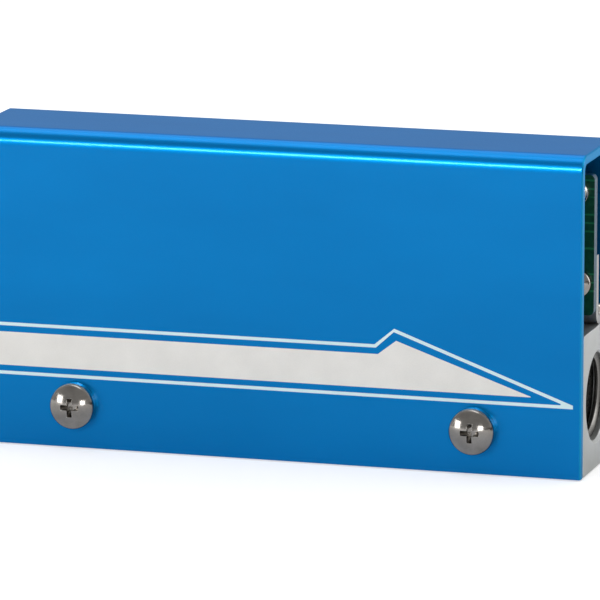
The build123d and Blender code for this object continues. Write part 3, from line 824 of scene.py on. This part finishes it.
# the metal ends of the chip resistors and capacitors, which sit level on the board
chipEndValues = {
    "reach": 0.82,  # from the chip's middle
    "long": 0.42, "wide": 1.3, "proud": 0.05, "bevel": 0.08,
    "resistorPlaces": [(along, up) for along in (-0.117, -0.043, 0.032, 0.107)
                       for up in (0.19, 0.714, 0.857)],
    "capacitorPlaces": [(along, up) for along in (0.543, 0.618) for up in (0.238, 0.381, 0.714)]
    + [(0.298, 0.919), (0.383, 0.919)],
}


def chipEnds(name, nodeName, places):
    height = boardFront - boxOf(nodeName)[0].y
    size = (chipEndValues["long"], height + chipEndValues["proud"], chipEndValues["wide"])
    end = smallBlock((0, boardFront - height / 2, 0), size, chipEndValues["bevel"])
    shifts = []
    for along, up in places:
        x, z = onBoard(along, up)
        shifts += [(x - chipEndValues["reach"], 0, z), (x + chipEndValues["reach"], 0, z)]
    spreadCopies(end, shifts, name, finishes["solder"])


chipEnds("resistor_ends", "chip_resistors", chipEndValues["resistorPlaces"])
chipEnds("capacitor_ends", "chip_capacitors", chipEndValues["capacitorPlaces"])

# the soldered feet of the chips: four rows at the controller, two at each amplifier
padValues = {
    "long": 0.9, "thick": 0.08, "wide": 0.5, "sunk": 0.02, "bevel": 0.03,
    "controller": {"place": (0.362, 0.476), "rowSize": 8, "pitch": 0.8, "reach": 4.1},
    "amplifiers": {"places": ((-0.277, 0.738), (-0.277, 0.262)),
                   "rowSize": 4, "pitch": 1.27, "reach": 2.6},
}


def rowOf(values):
    # the places along a row, from its middle
    middle = (values["rowSize"] - 1) / 2
    return [(n - middle) * values["pitch"] for n in range(values["rowSize"])]


x, z = onBoard(*padValues["controller"]["place"])
reach = padValues["controller"]["reach"]
row = rowOf(padValues["controller"])
levelPads = [(x + side, 0, z + run) for run in row for side in (reach, -reach)]
uprightPads = [(x + run, 0, z + side) for run in row for side in (reach, -reach)]
for place in padValues["amplifiers"]["places"]:
    x, z = onBoard(*place)
    reach = padValues["amplifiers"]["reach"]
    levelPads += [(x + side, 0, z + run) for run in rowOf(padValues["amplifiers"])
                  for side in (reach, -reach)]
padSize = (padValues["long"], padValues["thick"], padValues["wide"])
padPlace = (0, boardFront - padValues["sunk"], 0)
pad = smallBlock(padPlace, padSize, padValues["bevel"])
spreadCopies(pad, levelPads, "level_pads", finishes["solder"])
pad = smallBlock(padPlace, padSize[::-1], padValues["bevel"])
spreadCopies(pad, uprightPads, "upright_pads", finishes["solder"])

pinJointValues = {
    "radius": 0.75, "height": 0.55, "narrow": 0.5, "bevel": 0.12,
    "rowSize": 6, "pitch": 2.5, "pinHalf": 0.3175,
}
pinsLow, pinsHigh = boxOf("connector_pins")
pinAlong = pinsHigh.x - pinJointValues["pinHalf"]
pinMiddle = (pinsLow.z + pinsHigh.z) / 2
joint = roundStud((0, boardBack, 0), pinJointValues, 1)
spreadCopies(joint, [(pinAlong, 0, pinMiddle + run) for run in rowOf(pinJointValues)],
             "pin_solder", finishes["solder"])

leadJointValues = {
    "radius": 0.5, "height": 0.4, "narrow": 0.55, "bevel": 0.08,
    "alongs": (-7.0, -2.0, 2.0, 7.0), "up": 34.11,
}
joint = roundStud((0, boardFront, 0), leadJointValues)
spreadCopies(joint, [(along, 0, leadJointValues["up"]) for along in leadJointValues["alongs"]],
             "lead_solder", finishes["solder"])

# the dark segment on the top of each can
canMarkValues = {
    "radius": 2.2, "height": 0.03, "narrow": 0.99, "bevel": 0.01, "sides": 48,
    "places": ((-0.628, 0.786), (0.735, 0.476)), "chord": 0.9,  # from the can's middle
}
canMarks = []
for place in canMarkValues["places"]:
    x, z = onBoard(*place)
    mark = roundStud((x, boxOf("capacitor_cans")[0].y, z), canMarkValues)
    editPiece(mark)
    bpy.ops.mesh.bisect(plane_co=((x - canMarkValues["chord"]) * mm, 0, 0), plane_no=(1, 0, 0),
                        use_fill=True, clear_outer=True)
    endEdit()
    canMarks.append(mark)
finishPiece(joinPieces(canMarks), "can_marks", finishes["blackChip"])

# the dot beside each chip's first foot
dotValues = {
    "radius": 0.32, "height": 0.03, "narrow": 0.95, "bevel": 0.01,
    "places": (("controller_chip", (0.362, 0.476), (-2.6, 2.6)),
               ("amplifier_chips", (-0.277, 0.738), (-1.2, 1.7)),
               ("amplifier_chips", (-0.277, 0.262), (-1.2, 1.7))),
}
dots = []
for nodeName, place, shift in dotValues["places"]:
    x, z = onBoard(*place)
    dots.append(roundStud((x + shift[0], boxOf(nodeName)[0].y, z + shift[1]), dotValues))
finishPiece(joinPieces(dots), "chip_dots", finishes["greyFerrite"])

# the round core that shows in the top of the inductor, with a dished middle
coreValues = {
    "radius": 1.9, "height": 0.12, "narrow": 0.97, "bevel": 0.05, "sides": 48,
    "place": (-0.458, 0.738), "rim": 0.35, "dish": 0.08,
}
x, z = onBoard(*coreValues["place"])
core = roundStud((x, boxOf("power_inductor")[0].y, z), coreValues)
editPiece(core)
pickFaces(core, lambda middle, normal: normal.y < -0.9
          and abs(middle.x - x * mm) + abs(middle.z - z * mm) < coreValues["rim"] * mm)
bpy.ops.mesh.inset(thickness=coreValues["rim"] * mm)
bpy.ops.mesh.extrude_region_move(
    TRANSFORM_OT_translate={"value": (0, coreValues["dish"] * mm, 0)})
endEdit()
finishPiece(core, "inductor_core", finishes["greyFerrite"])
print("board details made")
